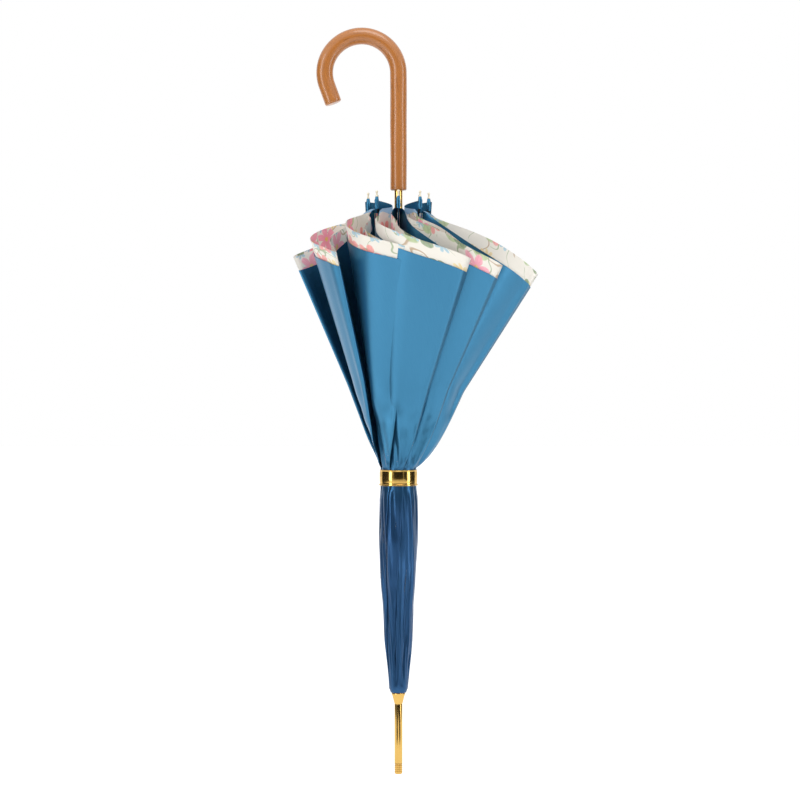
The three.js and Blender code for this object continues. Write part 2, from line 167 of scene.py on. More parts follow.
def add_stage():
    bpy.context.scene.view_settings.view_transform = "Standard"
    world = bpy.data.worlds.new("white room")
    world.use_nodes = True
    background = world.node_tree.nodes["Background"]
    background.inputs["Color"].default_value = (1, 1, 1, 1)
    background.inputs["Strength"].default_value = 1.0
    bpy.context.scene.world = world
    middle = Vector(to_row((0, 0, 480)))
    area_light("left box", middle + Vector((-1.5, -1.3, 0.4)), middle, (0.5, 1.7), 17)
    area_light("right box", middle + Vector((1.7, -0.8, 0.3)), middle, (0.5, 1.6), 13)
    area_light("top box", middle + Vector((0.2, -0.7, 1.6)), middle, (0.9, 0.7), 9)
    low = AXIS[2] - 0.05
    floor = [(-20, -20, low), (20, -20, low), (20, 20, low), (-20, 20, low)]
    stage_plane("floor", floor, (0.9, 0.9, 0.9), 0.35)
    # dark walls out of sight, which give the cloth and the metal their dark sides
    x, wall_top = AXIS[0], middle[2] + 1.3
    dark_walls = (
        ("dark wall left", (-2.2, -3.4), (-1.9, 1.0)),
        ("dark wall right", (2.2, -3.4), (1.9, 1.0)),
        ("dark wall front", (-2.1, -3.5), (2.1, -3.5)),
    )
    for name, (x0, y0), (x1, y1) in dark_walls:
        corners = [(x + x0, y0, low), (x + x1, y1, low), (x + x1, y1, wall_top), (x + x0, y0, wall_top)]
        hide_from_camera(stage_plane(name, corners, (0.015, 0.015, 0.02)))
    # cards beside the ferrule, for the dark streaks in its polish
    for side in (-1, 1):
        x0, x1, top = x + side * 0.12, x + side * 0.34, AXIS[2] + 0.14
        corners = [(x0, -0.38, low + 0.01), (x1, -0.22, low + 0.01), (x1, -0.22, top), (x0, -0.38, top)]
        card = stage_plane("ferrule card", corners, (0.01, 0.01, 0.01))
        hide_from_camera(card)
        card.visible_diffuse = False


def hide_from_camera(plane):
    plane.visible_camera = False
    plane.visible_shadow = False


# ---- material building ----
class Nodes:
    """Short calls for a material's nodes: each returns the new node's output socket."""

    def __init__(self, name):
        self.material = bpy.data.materials.new(name)
        self.material.use_nodes = True
        self.tree = self.material.node_tree
        self.shader = self.tree.nodes["Principled BSDF"]

    def put(self, target, value):
        if isinstance(value, bpy.types.NodeSocket):
            self.tree.links.new(value, target)
        elif value is not None:
            target.default_value = value

    def node(self, kind, settings=None, **inputs):
        made = self.tree.nodes.new(kind)
        for key, value in (settings or {}).items():
            setattr(made, key, value)
        for key, value in inputs.items():
            self.put(made.inputs[key.replace("_", " ")], value)
        return made

    def math(self, operation, first, second=None, clamp=False):
        made = self.tree.nodes.new("ShaderNodeMath")
        made.operation = operation
        made.use_clamp = clamp
        self.put(made.inputs[0], first)
        self.put(made.inputs[1], second)
        return made.outputs[0]

    def vector(self, operation, first, second=None):
        made = self.tree.nodes.new("ShaderNodeVectorMath")
        made.operation = operation
        self.put(made.inputs[0], first)
        self.put(made.inputs[1], second)
        return made.outputs["Value" if operation == "LENGTH" else "Vector"]

    def step(self, value, low, high):
        made = self.node("ShaderNodeMapRange", {"interpolation_type": "SMOOTHSTEP"})
        self.put(made.inputs["Value"], value)
        made.inputs["From Min"].default_value = low
        made.inputs["From Max"].default_value = high
        return made.outputs["Result"]

    def noise(self, vector, scale, detail=3.0, roughness=0.5):
        made = self.node("ShaderNodeTexNoise", Vector=vector, Scale=scale, Detail=detail, Roughness=roughness)
        return made.outputs["Fac"]

    def mix(self, share, first, second, blend="MIX"):
        made = self.tree.nodes.new("ShaderNodeMix")
        made.data_type = "RGBA"
        made.blend_type = blend
        self.put(made.inputs[0], share)
        self.put(made.inputs[6], first)
        self.put(made.inputs[7], second)
        return made.outputs[2]

    def uv(self, scale=(1, 1, 1)):
        place = self.node("ShaderNodeUVMap", {"uv_map": "UVMap"}).outputs["UV"]
        return self.vector("MULTIPLY", place, scale)

    def bump(self, height, strength, distance):
        made = self.node("ShaderNodeBump", Height=height, Strength=strength, Distance=distance)
        self.put(self.shader.inputs["Normal"], made.outputs["Normal"])

    def set(self, **values):
        for key, value in values.items():
            self.put(self.shader.inputs[key.replace("_", " ")], value)


def srgb(text, alpha=1.0):
    """A linear colour from a hex sRGB text."""
    parts = [int(text[i : i + 2], 16) / 255 for i in (1, 3, 5)]
    linear = [p / 12.92 if p <= 0.04045 else ((p + 0.055) / 1.055) ** 2.4 for p in parts]
    return (*linear, alpha)


def weave(m, threads_per_metre):
    """Fine over-and-under threads from the cloth's own coordinates."""
    place = m.uv((threads_per_metre, threads_per_metre, 1))
    warp = m.node("ShaderNodeTexWave", {"bands_direction": "X"}, Vector=place, Scale=1.0).outputs["Fac"]
    weft = m.node("ShaderNodeTexWave", {"bands_direction": "Y"}, Vector=place, Scale=0.6).outputs["Fac"]
    return m.math("ADD", m.math("MULTIPLY", warp, 0.6), m.math("MULTIPLY", weft, 0.4))


def satin_material():
    m = Nodes("blue satin")
    place = m.uv()
    along = m.node("ShaderNodeSeparateXYZ", Vector=place).outputs["Y"]
    # painted shade: the same satin is painted a darker navy on the wrapped bundle below the ring than on the
    # flare above it
    above_painted_shade = m.step(along, 0.22, 0.36)
    base = m.mix(above_painted_shade, srgb("#183866"), srgb("#37789c"))
    cloud = m.noise(m.uv((9, 4, 1)), 1.0, 4.0)
    base = m.mix(m.math("MULTIPLY", cloud, 0.35), base, srgb("#245d82"))
    slub = m.noise(m.uv((1400, 60, 1)), 1.0, 2.0)
    base = m.mix(m.math("MULTIPLY", slub, 0.12), base, srgb("#5da6cf"))
    threads = weave(m, 1500)
    rough = m.math("ADD", 0.25, m.math("MULTIPLY", cloud, 0.10))
    m.set(Base_Color=base, Roughness=rough, Metallic=0.75, Anisotropic=0.3, Specular_IOR_Level=0.6)
    m.bump(m.math("ADD", m.math("MULTIPLY", threads, 0.5), m.math("MULTIPLY", slub, 0.6)), 0.12, 0.0002)
    return m.material


def reverse_material():
    m = Nodes("satin reverse")
    cloud = m.noise(m.uv((12, 6, 1)), 1.0, 3.0)
    threads = weave(m, 1400)
    base = m.mix(cloud, srgb("#8db9da"), srgb("#a9cbe6"))
    base = m.mix(m.math("MULTIPLY", threads, 0.15), base, srgb("#6e9fc6"))
    m.set(Base_Color=base, Roughness=0.75, Sheen_Weight=0.3)
    m.bump(threads, 0.15, 0.0002)
    return m.material


def print_cell(m, scale, seed):
    """A scatter of cells: each gives a point's radius and angle about its cell, and a random value."""
    place = m.vector("ADD", m.uv((scale, scale, 1)), (seed, seed * 1.7, 0))
    drift = m.node("ShaderNodeTexNoise", Vector=place, Scale=2.2, Detail=2.0).outputs["Color"]
    place = m.vector("ADD", place, m.vector("MULTIPLY", drift, (0.16, 0.16, 0)))
    flat_cells = {"voronoi_dimensions": "2D"}
    cell = m.node("ShaderNodeTexVoronoi", flat_cells, Vector=place, Scale=1.0, Randomness=0.75)
    local = m.vector("SUBTRACT", place, cell.outputs["Position"])
    parts = m.node("ShaderNodeSeparateXYZ", Vector=local)
    chance = m.node("ShaderNodeSeparateColor", Color=cell.outputs["Color"])
    turn = m.math("MULTIPLY", chance.outputs["Red"], 2 * math.pi)
    angle = m.math("ADD", m.math("ARCTAN2", parts.outputs["Y"], parts.outputs["X"]), turn)
    flat = m.node("ShaderNodeCombineXYZ", X=parts.outputs["X"], Y=parts.outputs["Y"]).outputs["Vector"]
    return m.vector("LENGTH", flat), angle, chance.outputs["Green"], chance.outputs["Blue"]


def bloom(m, scale, seed, petals, size, share, inner, outer, ground):
    """One kind of watercolour flower over the ground colour."""
    radius, angle, chance, tint = print_cell(m, scale, seed)
    lobe = m.math("ABSOLUTE", m.math("COSINE", m.math("MULTIPLY", angle, petals / 2)))
    edge = m.math("MULTIPLY", m.math("ADD", 0.35, m.math("MULTIPLY", m.math("POWER", lobe, 0.8), 0.65)), size)
    shape = m.step(m.math("SUBTRACT", edge, radius), 0.0, size * 0.12)
    here = m.math("MULTIPLY", shape, m.step(chance, 1 - share, 1 - share + 0.02))
    depth = m.math("DIVIDE", radius, size, clamp=True)
    wash = m.noise(m.uv((scale * 9, scale * 9, 1)), 1.0, 4.0)
    colour = m.mix(m.math("MULTIPLY", m.math("ADD", depth, wash), 0.6, clamp=True), inner, outer)
    vein = m.math("POWER", m.math("ABSOLUTE", m.math("SINE", m.math("MULTIPLY", angle, petals * 2.0))), 6.0)
    colour = m.mix(m.math("MULTIPLY", vein, 0.35), colour, inner)
    eye = m.step(m.math("SUBTRACT", size * 0.2, radius), 0.0, size * 0.08)
    colour = m.mix(eye, colour, srgb("#d9a93f"))
    opacity = m.math("MULTIPLY", here, m.math("ADD", 0.62, m.math("MULTIPLY", wash, 0.5)), clamp=True)
    return m.mix(opacity, ground, colour)


def vines(m, scale, seed, width, colour, ground):
    """Thin winding stems: where a slow noise crosses its middle value."""
    place = m.vector("ADD", m.uv((scale, scale, 1)), (seed, -seed, 0))
    field = m.noise(place, 1.0, 1.0)
    near = m.math("ABSOLUTE", m.math("SUBTRACT", field, 0.5))
    line = m.step(near, width, width * 0.3)
    gaps = m.step(m.noise(place, 0.7, 1.0), 0.46, 0.5)
    return m.mix(m.math("MULTIPLY", m.math("MULTIPLY", line, gaps), 0.8), ground, colour)


def print_colour(m, ground):
    """The painted garden print: vines, leaves and four kinds of flower on a pale ground."""
    base = vines(m, 26, 3.1, 0.012, srgb("#a9814f"), ground)
    base = vines(m, 34, 8.7, 0.010, srgb("#7d9a62"), base)
    base = bloom(m, 30, 5.3, 2, 0.40, 0.42, srgb("#6f8f4a"), srgb("#b9cd93"), base)
    base = bloom(m, 42, 2.2, 2, 0.36, 0.25, srgb("#35502f"), srgb("#7ea06a"), base)
    base = bloom(m, 40, 9.4, 7, 0.30, 0.30, srgb("#4f8fae"), srgb("#a8d3e2"), base)
    base = bloom(m, 36, 6.6, 9, 0.34, 0.35, srgb("#c99a3a"), srgb("#f1dfa0"), base)
    base = bloom(m, 36, 1.9, 5, 0.42, 0.42, srgb("#d63a4c"), srgb("#f49a94"), base)
    return bloom(m, 28, 7.5, 6, 0.46, 0.45, srgb("#e0407a"), srgb("#f8a9bf"), base)


def lining_material(name, faded):
    m = Nodes(name)
    ground = m.mix(m.noise(m.uv((14, 14, 1)), 1.0, 3.0), srgb("#ece8df"), srgb("#e0dbd0"))
    printed = print_colour(m, ground)
    threads = weave(m, 1300)
    base = m.mix(faded, printed, ground)
    base = m.mix(m.math("MULTIPLY", threads, 0.10), base, srgb("#cfcabd"))
    m.set(Base_Color=base, Roughness=0.7, Sheen_Weight=0.2)
    m.bump(threads, 0.15, 0.0002)
    return m.material


def wood_material():
    m = Nodes("varnished wood")
    grain = m.noise(m.uv((160, 5, 1)), 1.0, 5.0, 0.6)
    broad = m.noise(m.uv((18, 7, 1)), 1.0, 3.0)
    fleck = m.step(m.noise(m.uv((420, 34, 1)), 1.0, 2.0), 0.60, 0.70)
    ring = m.node("ShaderNodeTexWave", {"bands_direction": "X"}, Vector=m.uv((40, 1.2, 1)), Scale=1.0)
    ring.inputs["Distortion"].default_value = 5.0
    base = m.mix(grain, srgb("#96561f"), srgb("#bd7c3d"))
    base = m.mix(m.math("MULTIPLY", broad, 0.6), base, srgb("#a3642a"))
    base = m.mix(m.math("MULTIPLY", ring.outputs["Fac"], 0.18), base, srgb("#7c4519"))
    base = m.mix(m.math("MULTIPLY", fleck, 0.45), base, srgb("#5f3110"))
    m.set(Base_Color=base, Roughness=m.math("ADD", 0.30, m.math("MULTIPLY", grain, 0.15)))
    m.set(Coat_Weight=0.5, Coat_Roughness=0.12)
    m.bump(m.math("ADD", grain, m.math("MULTIPLY", fleck, 0.6)), 0.08, 0.0003)
    return m.material


def metal_material(name, colour, dark, roughness, scratch):
    m = Nodes(name)
    place = m.node("ShaderNodeTexCoord").outputs["Object"]
    streak = m.noise(m.vector("MULTIPLY", place, scratch), 1.0, 3.0)
    smudge = m.noise(place, 60.0, 3.0)
    base = m.mix(m.math("MULTIPLY", smudge, 0.35), colour, dark)
    rough = m.math("ADD", roughness, m.math("MULTIPLY", m.math("ADD", streak, smudge), roughness * 0.5))
    m.set(Base_Color=base, Metallic=1.0, Roughness=rough)
    m.bump(streak, 0.03, 0.0001)
    return m.material


def bead_material():
    m = Nodes("cream bead")
    place = m.node("ShaderNodeTexCoord").outputs["Object"]
    cloud = m.noise(place, 400.0, 2.0)
    m.set(Base_Color=m.mix(cloud, srgb("#efe6d2"), srgb("#dccfae")), Roughness=0.3, Coat_Weight=0.4)
    return m.material


# ---- mesh building ----
def add_object(name, mesh, materials):
    piece = bpy.data.objects.new(name, mesh)
    bpy.context.scene.collection.objects.link(piece)
    for material in materials:
        mesh.materials.append(material)
    return piece


def grid_faces(rows, columns, first=0, flip=False, wrap=False):
    faces = []
    for i in range(rows - 1):
        for j in range(columns if wrap else columns - 1):
            k = (j + 1) % columns
            corners = [first + i * columns + j, first + i * columns + k]
            corners += [first + (i + 1) * columns + k, first + (i + 1) * columns + j]
            faces.append(corners[::-1] if flip else corners)
    return faces


def circle(radius, height, segments, centre=(0, 0)):
    """Points around a level circle."""
    angles = [2 * math.pi * j / segments for j in range(segments)]
    x, y = centre
    return [(x + radius * math.cos(a), y + radius * math.sin(a), height) for a in angles]


def lathe(name, profile, material, segments=64, centre=(0, 0)):
    """A turned solid from (radius, height) pairs that start and end on the axis."""
    points = []
    for radius, height in profile[1:-1]:
        points += circle(radius, height, segments, centre)
    rows = len(profile) - 2
    faces = grid_faces(rows, segments, wrap=True)
    bottom, top = len(points), len(points) + 1
    points += [(*centre, profile[0][1]), (*centre, profile[-1][1])]
    last = (rows - 1) * segments
    for j in range(segments):
        k = (j + 1) % segments
        faces.append((bottom, k, j))
        faces.append((top, last + j, last + k))
    mesh = bpy.data.meshes.new(name)
    mesh.from_pydata([tuple(p) for p in to_row(points)], [], faces)
    return finish_mesh(name, mesh, material)


def hoop(name, profile, material, segments=96):
    """A turned solid from (radius, height) pairs that close on themselves around a hole."""
    points = []
    for radius, height in [*profile, profile[0]]:
        points += circle(radius, height, segments)
    faces = grid_faces(len(profile) + 1, segments, wrap=True)
    mesh = bpy.data.meshes.new(name)
    mesh.from_pydata([tuple(p) for p in to_row(points)], [], faces)
    return finish_mesh(name, mesh, material)


def finish_mesh(name, mesh, material):
    build = bmesh.new()
    build.from_mesh(mesh)
    bmesh.ops.remove_doubles(build, verts=build.verts, dist=1e-7)
    bmesh.ops.recalc_face_normals(build, faces=build.faces)
    build.to_mesh(mesh)
    build.free()
    mesh.shade_smooth()
    mesh.set_sharp_from_angle(angle=math.radians(35))
    return add_object(name, mesh, [material])


def rounded(radius, low, high, edge, steps=4):
    """The outer side of a round bar between two heights, with quarter-round edges."""
    turns = [math.pi / 2 * i / steps for i in range(steps + 1)]
    below = [(radius - edge + edge * math.sin(t), low + edge - edge * math.cos(t)) for t in turns]
    above = [(radius - edge + edge * math.cos(t), high - edge + edge * math.sin(t)) for t in turns]
    return below + above


# ---- handle ----
def crook_path():
    """Points and turning angles of the crook's centre line."""
    path = [(0.0, HANDLE_BOTTOM + (CROOK_CENTRE_Z - HANDLE_BOTTOM) * i / 24, 0.0) for i in range(24)]
    for i in range(73):
        turn = CROOK_SWEEP * i / 72
        path.append((-CROOK_R + CROOK_R * math.cos(turn), CROOK_CENTRE_Z + CROOK_R * math.sin(turn), turn))
    x, z, turn = path[-1]
    for i in range(1, 9):
        step = CROOK_TAIL * i / 8
        path.append((x - step * math.sin(turn), z + step * math.cos(turn), turn))
    return path


def handle_radius(along, total):
    """The stick is a touch slimmer at its foot, with a small round at each end."""
    slim = 0.25 * (1 - smoothstep(0, 110, along))
    foot = 1.6 - math.sqrt(max(0.0, 1.6**2 - max(0.0, 1.6 - along) ** 2))
    end = 2.2 - math.sqrt(max(0.0, 2.2**2 - max(0.0, 2.2 - (total - along)) ** 2))
    return CROOK_TUBE_R - slim - foot - end


def add_handle(material):
    path = crook_path()
    steps = [0.0]
    for (x0, z0, _), (x1, z1, _) in zip(path, path[1:]):
        steps.append(steps[-1] + math.hypot(x1 - x0, z1 - z0))
    total = steps[-1]
    fine = [0, 0.15, 0.5, 1.0, 1.6, *np.arange(4, total - 4, 3.2), total - 2.2, total - 1.4, total - 0.6]
    fine += [total - 0.2, total]
    sides = 56
    points, coordinates = [], []
    for along in fine:
        x, z, turn = (np.interp(along, steps, [p[axis] for p in path]) for axis in range(3))
        radius = handle_radius(along, total)
        for j in range(sides):
            angle = 2 * math.pi * j / sides
            knot = 0.18 * math.sin(3 * angle + along * 0.031) * math.sin(along * 0.047)
            reach = (radius + knot) * math.cos(angle)
            aside = (radius + knot) * math.sin(angle)
            points.append((x + reach * math.cos(turn), aside, z + reach * math.sin(turn)))
            coordinates.append((j / sides * 0.065, along * MM))
    faces = grid_faces(len(fine), sides, wrap=True)
    faces.append(tuple(range(sides))[::-1])
    faces.append(tuple(range((len(fine) - 1) * sides, len(fine) * sides)))
    mesh = bpy.data.meshes.new("handle_wood")
    mesh.from_pydata([tuple(p) for p in to_row(points)], [], faces)
    layer = mesh.uv_layers.new(name="UVMap")
    for loop in mesh.loops:
        layer.data[loop.index].uv = coordinates[loop.vertex_index]
    mesh.shade_smooth()
    mesh.set_sharp_from_angle(angle=math.radians(50))
    piece = add_object("handle_wood", mesh, [material])
    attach(piece, "root")
    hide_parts("handle")


# ---- metal parts ----
def add_metal(gold, bead, cloth):
    shaft = lathe("shaft_tube", [(0, 92.4), *rounded(SHAFT_R, 92.4, 766, 0.3), (0, 766)], gold)
    tube = lathe("ferrule_rod", [(0, 13.3), *rounded(SHAFT_R, 13.3, 87, 0.4), (0, 87)], gold)
    tip_profile = [(0, 0), (3.0, 0), (4.1, 0.3), (4.8, 1.2)]
    for i in range(4):
        z = 2.0 + 2.4 * i
        tip_profile += [(SHAFT_R, z), (SHAFT_R, z + 1.3)]
        tip_profile += [(SHAFT_R - 0.55, z + 1.6), (SHAFT_R - 0.55, z + 2.1)]
    tip_profile += [(SHAFT_R, 12.0), (SHAFT_R, 12.7), (4.7, 13.0), (0, 13.0)]
    tip = lathe("ferrule_end", tip_profile, gold)
    cone = [(0, 87.3), (4.9, 87.3), (5.2, 87.7), (5.5, 89), (6.6, 93), (7.9, 98), (8.6, 99.6), (8.8, 100.2)]
    cone += [(8.6, 100.7), (0, 100.9)]
    collar = lathe("collar_cone", cone, gold)
    replaced = {"shaft": shaft, "ferrule_tube": tube, "ferrule_tip": tip, "ferrule_collar": collar}
    for node, piece in replaced.items():
        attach(piece, "root")
        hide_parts(node)
    add_ring(gold)
    for k in range(RIBS):
        add_tip(k, bead, cloth)


def add_ring(gold):
    """The gathering ring: a plain band with a round lip below and a fine bead above."""
    low, high = RING_BOTTOM, RING_TOP
    inner, band, lip = RING_INNER_R, RING_OUTER_R, RING_LIP_R
    profile = [(inner, low + 0.3), (inner + 0.3, low), (lip - 0.5, low)]
    profile += [(lip - 0.1, low + 0.3), (lip, low + 1.0), (lip - 0.1, low + 1.7)]
    profile += [(lip - 0.4, low + 2.1), (band - 0.15, low + 2.3), (band - 0.25, low + 3.0)]
    profile += [(band, low + 4.2), (band + 0.1, (low + high) / 2), (band, high - 3.0)]
    profile += [(band - 0.25, high - 2.0), (band - 0.15, high - 1.5), (band + 0.1, high - 1.1)]
    profile += [(band + 0.1, high - 0.5), (band - 0.3, high), (inner + 0.2, high)]
    profile += [(inner, high - 0.3)]
    ring = hoop("gathering_ring", profile, gold)
    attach(ring, "ring")
    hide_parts("ring")


def outward(azimuth):
    return np.array((math.sin(azimuth), -math.cos(azimuth), 0.0))


def add_tip(k, bead, cloth):
    """The bead on a rib's end, a little cap with a waist and a round head."""
    low, high = (np.array(corner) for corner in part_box(f"rib_tip_{k + 1}"))
    x, y, _ = (((low + high) / 2) - AXIS) / MM
    base = (low[2] - AXIS[2]) / MM
    profile = [(0, base), (1.2, base), (1.55, base + 0.4), (1.6, base + 1.6), (1.15, base + 2.2)]
    profile += [(1.1, base + 4.6), (1.35, base + 5.2), (1.6, base + 6.2)]
    profile += [(1.5, base + 7.2), (1.0, base + 7.8), (0, base + 8.0)]
    piece = lathe(f"tip_bead_{k + 1}", profile, bead, 24, (x, y))
    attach(piece, f"rib_{k + 1}")
    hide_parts(f"rib_tip_{k + 1}")
    sleeve = [(0, base - 15), (2.2, base - 15), (2.9, base - 12)]
    sleeve += [(2.6, base - 4), (1.9, base + 0.2), (0, base + 0.4)]
    pocket = lathe(f"tip_pocket_{k + 1}", sleeve, cloth, 20, (x, y))
    coordinates = pocket.data.uv_layers.new(name="UVMap")
    for loop in pocket.data.loops:
        coordinates.data[loop.index].uv = (0.5, RIB_CLOTH_LENGTH)
    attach(pocket, f"rib_{k + 1}")


# ---- cloth ----
ACROSS = 36
DIP_SHARE = 0.3
DIP_INNER_R = 9.5
# where a half panel leaves its pleat, as a share of the way from the panel's middle to its rib
RUN_START = 0.55
# how far inside the bundle's surface the cloth meets its rib
RIB_INSET = 1.6
BUNDLE_ROWS = 56
FLARE_ROWS = 64
FLARE_EASE = 1.25
WRINKLE_SEED = 60


def random_values(seed, count):
    return np.random.default_rng(seed).uniform(0, 1, count)


def polar(radius, azimuth, height):
    return np.stack([radius * np.sin(azimuth), -radius * np.cos(azimuth), height + 0 * radius], axis=-1)


def dip_and_run(s):
    """A half panel's two parts: a pleat that dips in between the ribs, then the run to its fold."""
    return np.clip(s / DIP_SHARE, 0, 1), np.clip((s - DIP_SHARE) / (1 - DIP_SHARE), 0, 1)


def shared_pleats(azimuth, z):
    """Long pleats that all the wrapped layers share, by azimuth and height, flat inside the ring."""
    long_fold = np.sin(5 * azimuth + 0.011 * z + 1.3) + 0.6 * np.sin(9 * azimuth - 0.017 * z)
    fine = np.sin(17 * azimuth + 0.03 * z) + 0.5 * np.sin(29 * azimuth - 0.02 * z + 2.0)
    ripple = np.sin(0.07 * z + 3 * azimuth) * np.sin(0.031 * z + 2 * azimuth + 1.0)
    below = smoothstep(104, 140, z) * (1 - smoothstep(346, 358, z))
    above = smoothstep(380, 392, z)
    wrapped = 0.85 * long_fold + 0.3 * fine + 0.45 * ripple - 0.7
    free = 0.7 * long_fold + 0.7 * fine
    return below * wrapped + above * free


def bundle_point(k, side, s, z):
    """The wrapped cloth below the ring: each panel's fold lies over the start of the next panel."""
    dip, run = dip_and_run(s)
    twist = TWIST * np.maximum(0.0, RING_BOTTOM - z)
    middle = 2 * HALF_STEP * k + HALF_STEP
    fold = middle + HALF_STEP + OVERLAP
    body = np.interp(z, BUNDLE_Z, BUNDLE_R)
    tuck = 1.3 * smoothstep(104, 150, z)
    near = middle + side * HALF_STEP * RUN_START
    azimuth = near + (fold - near) * run
    if side < 0:
        radius = body - tuck * (1 - smoothstep(0.0, 0.4, run)) - 0.3 * smoothstep(0.93, 1.0, run)
    else:
        radius = body - tuck - 0.25 + (tuck - 0.05) * run**3
    radius = radius + shared_pleats(azimuth - 1.6 * twist, z)
    return dipped(middle, side, dip, polar(radius, azimuth - twist, z), twist, body, -RIB_INSET)


def dipped(middle, side, dip, point, twist, root_r, rib_offset):
    """Moves the points of the pleat from the rib in towards the shaft and back out to the run."""
    level = 0 * point[..., 2]
    rib = polar(root_r + rib_offset + level, middle + side * HALF_STEP - twist, point[..., 2])
    inner = np.maximum(root_r * math.cos(HALF_STEP) - DIP_INNER_R, 0)
    direction = polar(1.0 + level, middle - twist, level)
    across = np.stack([-direction[..., 1], direction[..., 0], level], axis=-1)
    low, high = (rib * across).sum(-1), (point * across).sum(-1)
    inward = np.sin(np.pi * dip)
    sideways = (low + (high - low) * dip) * (1 - 0.7 * inward)
    low, high = (rib * direction).sum(-1), (point * direction).sum(-1)
    forward = low + (high - low) * dip - inner * inward
    pleated = direction * forward[..., None] + across * sideways[..., None]
    pleated[..., 2] = point[..., 2]
    return np.where((dip < 1)[..., None], pleated, point)


def fold_line(k, t):
    azimuth, reach, height, puff = FOLDS[k]
    low = outward(2 * HALF_STEP * (k + 1) + OVERLAP) * NECK_R
    high = outward(math.radians(azimuth)) * reach
    t = np.asarray(t, float)[..., None]
    point = low * (1 - t) + high * t
    bulge = np.sin(np.pi * np.clip(t / 0.42, 0, 1) ** 0.6) * puff
    return point * (1 + bulge / np.maximum(np.linalg.norm(point, axis=-1, keepdims=True), 1))


def flare_point(k, side, s, t):
    """The free cloth above the ring, from the rib line (s 0) to the fold (s 1), t from ring to hem."""
    dip, run = dip_and_run(s)
    fold = fold_line(k, t)
    fold_r = np.linalg.norm(fold, axis=-1)
    middle = 2 * HALF_STEP * k + HALF_STEP
    neck_fold = middle + HALF_STEP + OVERLAP
    fold_azimuth = np.arctan2(fold[..., 0], -fold[..., 1])
    fold_azimuth = neck_fold + (fold_azimuth - neck_fold + math.pi) % (2 * math.pi) - math.pi
    root_r = NECK_R + (HEM_R - NECK_R) * t
    near = middle + side * HALF_STEP * RUN_START
    # near the ring both flanks lie on the bundle
    arc_azimuth = near + (fold_azimuth - near) * run
    if side > 0:
        under = 1.5 - 1.25 * run**3
    else:
        under = 1.3 * (1 - smoothstep(0.0, 0.4, run)) * (1 - smoothstep(0, 0.2, t))
    height = NECK_Z + t * (HEM_Z - NECK_Z)
    arc_r = root_r + (fold_r - root_r) * run**1.3 - under + shared_pleats(arc_azimuth, height)
    arc = polar(arc_r, arc_azimuth, 0 * arc_r)

    # farther up they part into a loop on both sides of a curved middle line
    def middle_line(share):
        azimuth = middle + (fold_azimuth - middle) * share**1.6
        root = root_r * math.cos(HALF_STEP)
        return polar(root + (fold_r - root) * share**0.9, azimuth, 0 * azimuth)

    centre = middle_line(run)
    ahead = middle_line(np.minimum(run + 0.02, 1.0)) - middle_line(np.maximum(run - 0.02, 0.001))
    ahead = ahead / np.maximum(np.linalg.norm(ahead, axis=-1, keepdims=True), 1e-9)
    normal = np.stack([-ahead[..., 1], ahead[..., 0], 0 * run], axis=-1)
    loop = 2.0 + LOOP_WIDTHS[k] * t
    half = RUN_START * root_r * math.sin(HALF_STEP) * (1 - run) ** 2
    half = half + loop * np.sqrt(np.maximum(0, 1 - run**4)) * smoothstep(0, 0.35, run)
    open_loop = centre + normal * (half * side)[..., None]
    share = smoothstep(0.02, 0.34, t)[..., None]
    point = arc * (1 - share) + open_loop * share
    point = dipped(middle, side, dip, point, 0.0, root_r, -RIB_INSET + 2.6 * smoothstep(0, 0.2, t))
    fold_z = NECK_Z + t * (FOLDS[k][2] - NECK_Z)
    point[..., 2] = height + (fold_z - height) * (0.12 * dip + 0.88 * run**0.85)
    return point


def wrinkles(k, side, s, t):
    """How far the cloth stands off its smooth shape; both flanks of a panel move the same way."""
    chance = random_values(WRINKLE_SEED + 2 * k, 8)
    _, run = dip_and_run(s)
    # measured back from the fold, so that what lies above one another moves as one
    back = (1 - run) * (1.0 if side < 0 else 0.52 + 0.48 * smoothstep(0.15, 0.5, t))
    window = smoothstep(0.0, 0.12, run) * smoothstep(0.0, 0.1, back) * smoothstep(0.10, 0.2, t)
    kink = np.sin(2 * math.pi * (1.2 * back + chance[2]) + 30 * t + 4 * chance[3])
    kink = kink * np.exp(-(((t - 0.24) / 0.08) ** 2))
    soft = np.sin(2 * math.pi * (1.45 * back + chance[4]) + 1.6 * (t - 0.5) * (chance[5] - 0.3))
    crease = 1 - np.abs(np.sin(math.pi * (1.1 * back + chance[6]) + 0.5 * t)) ** 0.6
    spread = smoothstep(0.10, 0.45, t)
    return -side * window * (0.9 * kink + spread * (3.4 * soft + 2.4 * crease - 1.0))


def flare_rise():
    """How far up the flare each row above the ring lies, with the rows closest together at the ring."""
    return np.linspace(0, 1, FLARE_ROWS)[1:] ** FLARE_EASE


def panel_grid(k, overhang, short):
    """Both halves of a panel in one grid: rows from crown to hem, columns from rib to fold to rib."""
    s = np.linspace(0, 1, ACROSS) ** 0.92
    halves, rises = [], []
    for side in (-1, 1):
        z = np.linspace(CLOTH_BOTTOM, NECK_Z, BUNDLE_ROWS)[:, None]
        low = bundle_point(k, side, s[None, :] + 0 * z, z + 0 * s[None, :])
        hem = 1 - short + (overhang + short) * smoothstep(0.0, 0.75, s)
        t = flare_rise()[:, None] * hem[None, :]
        high = flare_point(k, side, s[None, :] + 0 * t, t)
        halves.append(np.concatenate([low, high], axis=0))
        rises.append(np.concatenate([np.zeros((BUNDLE_ROWS, ACROSS)), t], axis=0))
    whole = np.concatenate([halves[0], halves[1][:, -2::-1]], axis=1)
    flags = np.concatenate([-np.ones(ACROSS), np.ones(ACROSS - 1)])
    share = np.concatenate([s, s[-2::-1]])
    return whole, flags, share, np.concatenate([rises[0], rises[1][:, -2::-1]], axis=1)


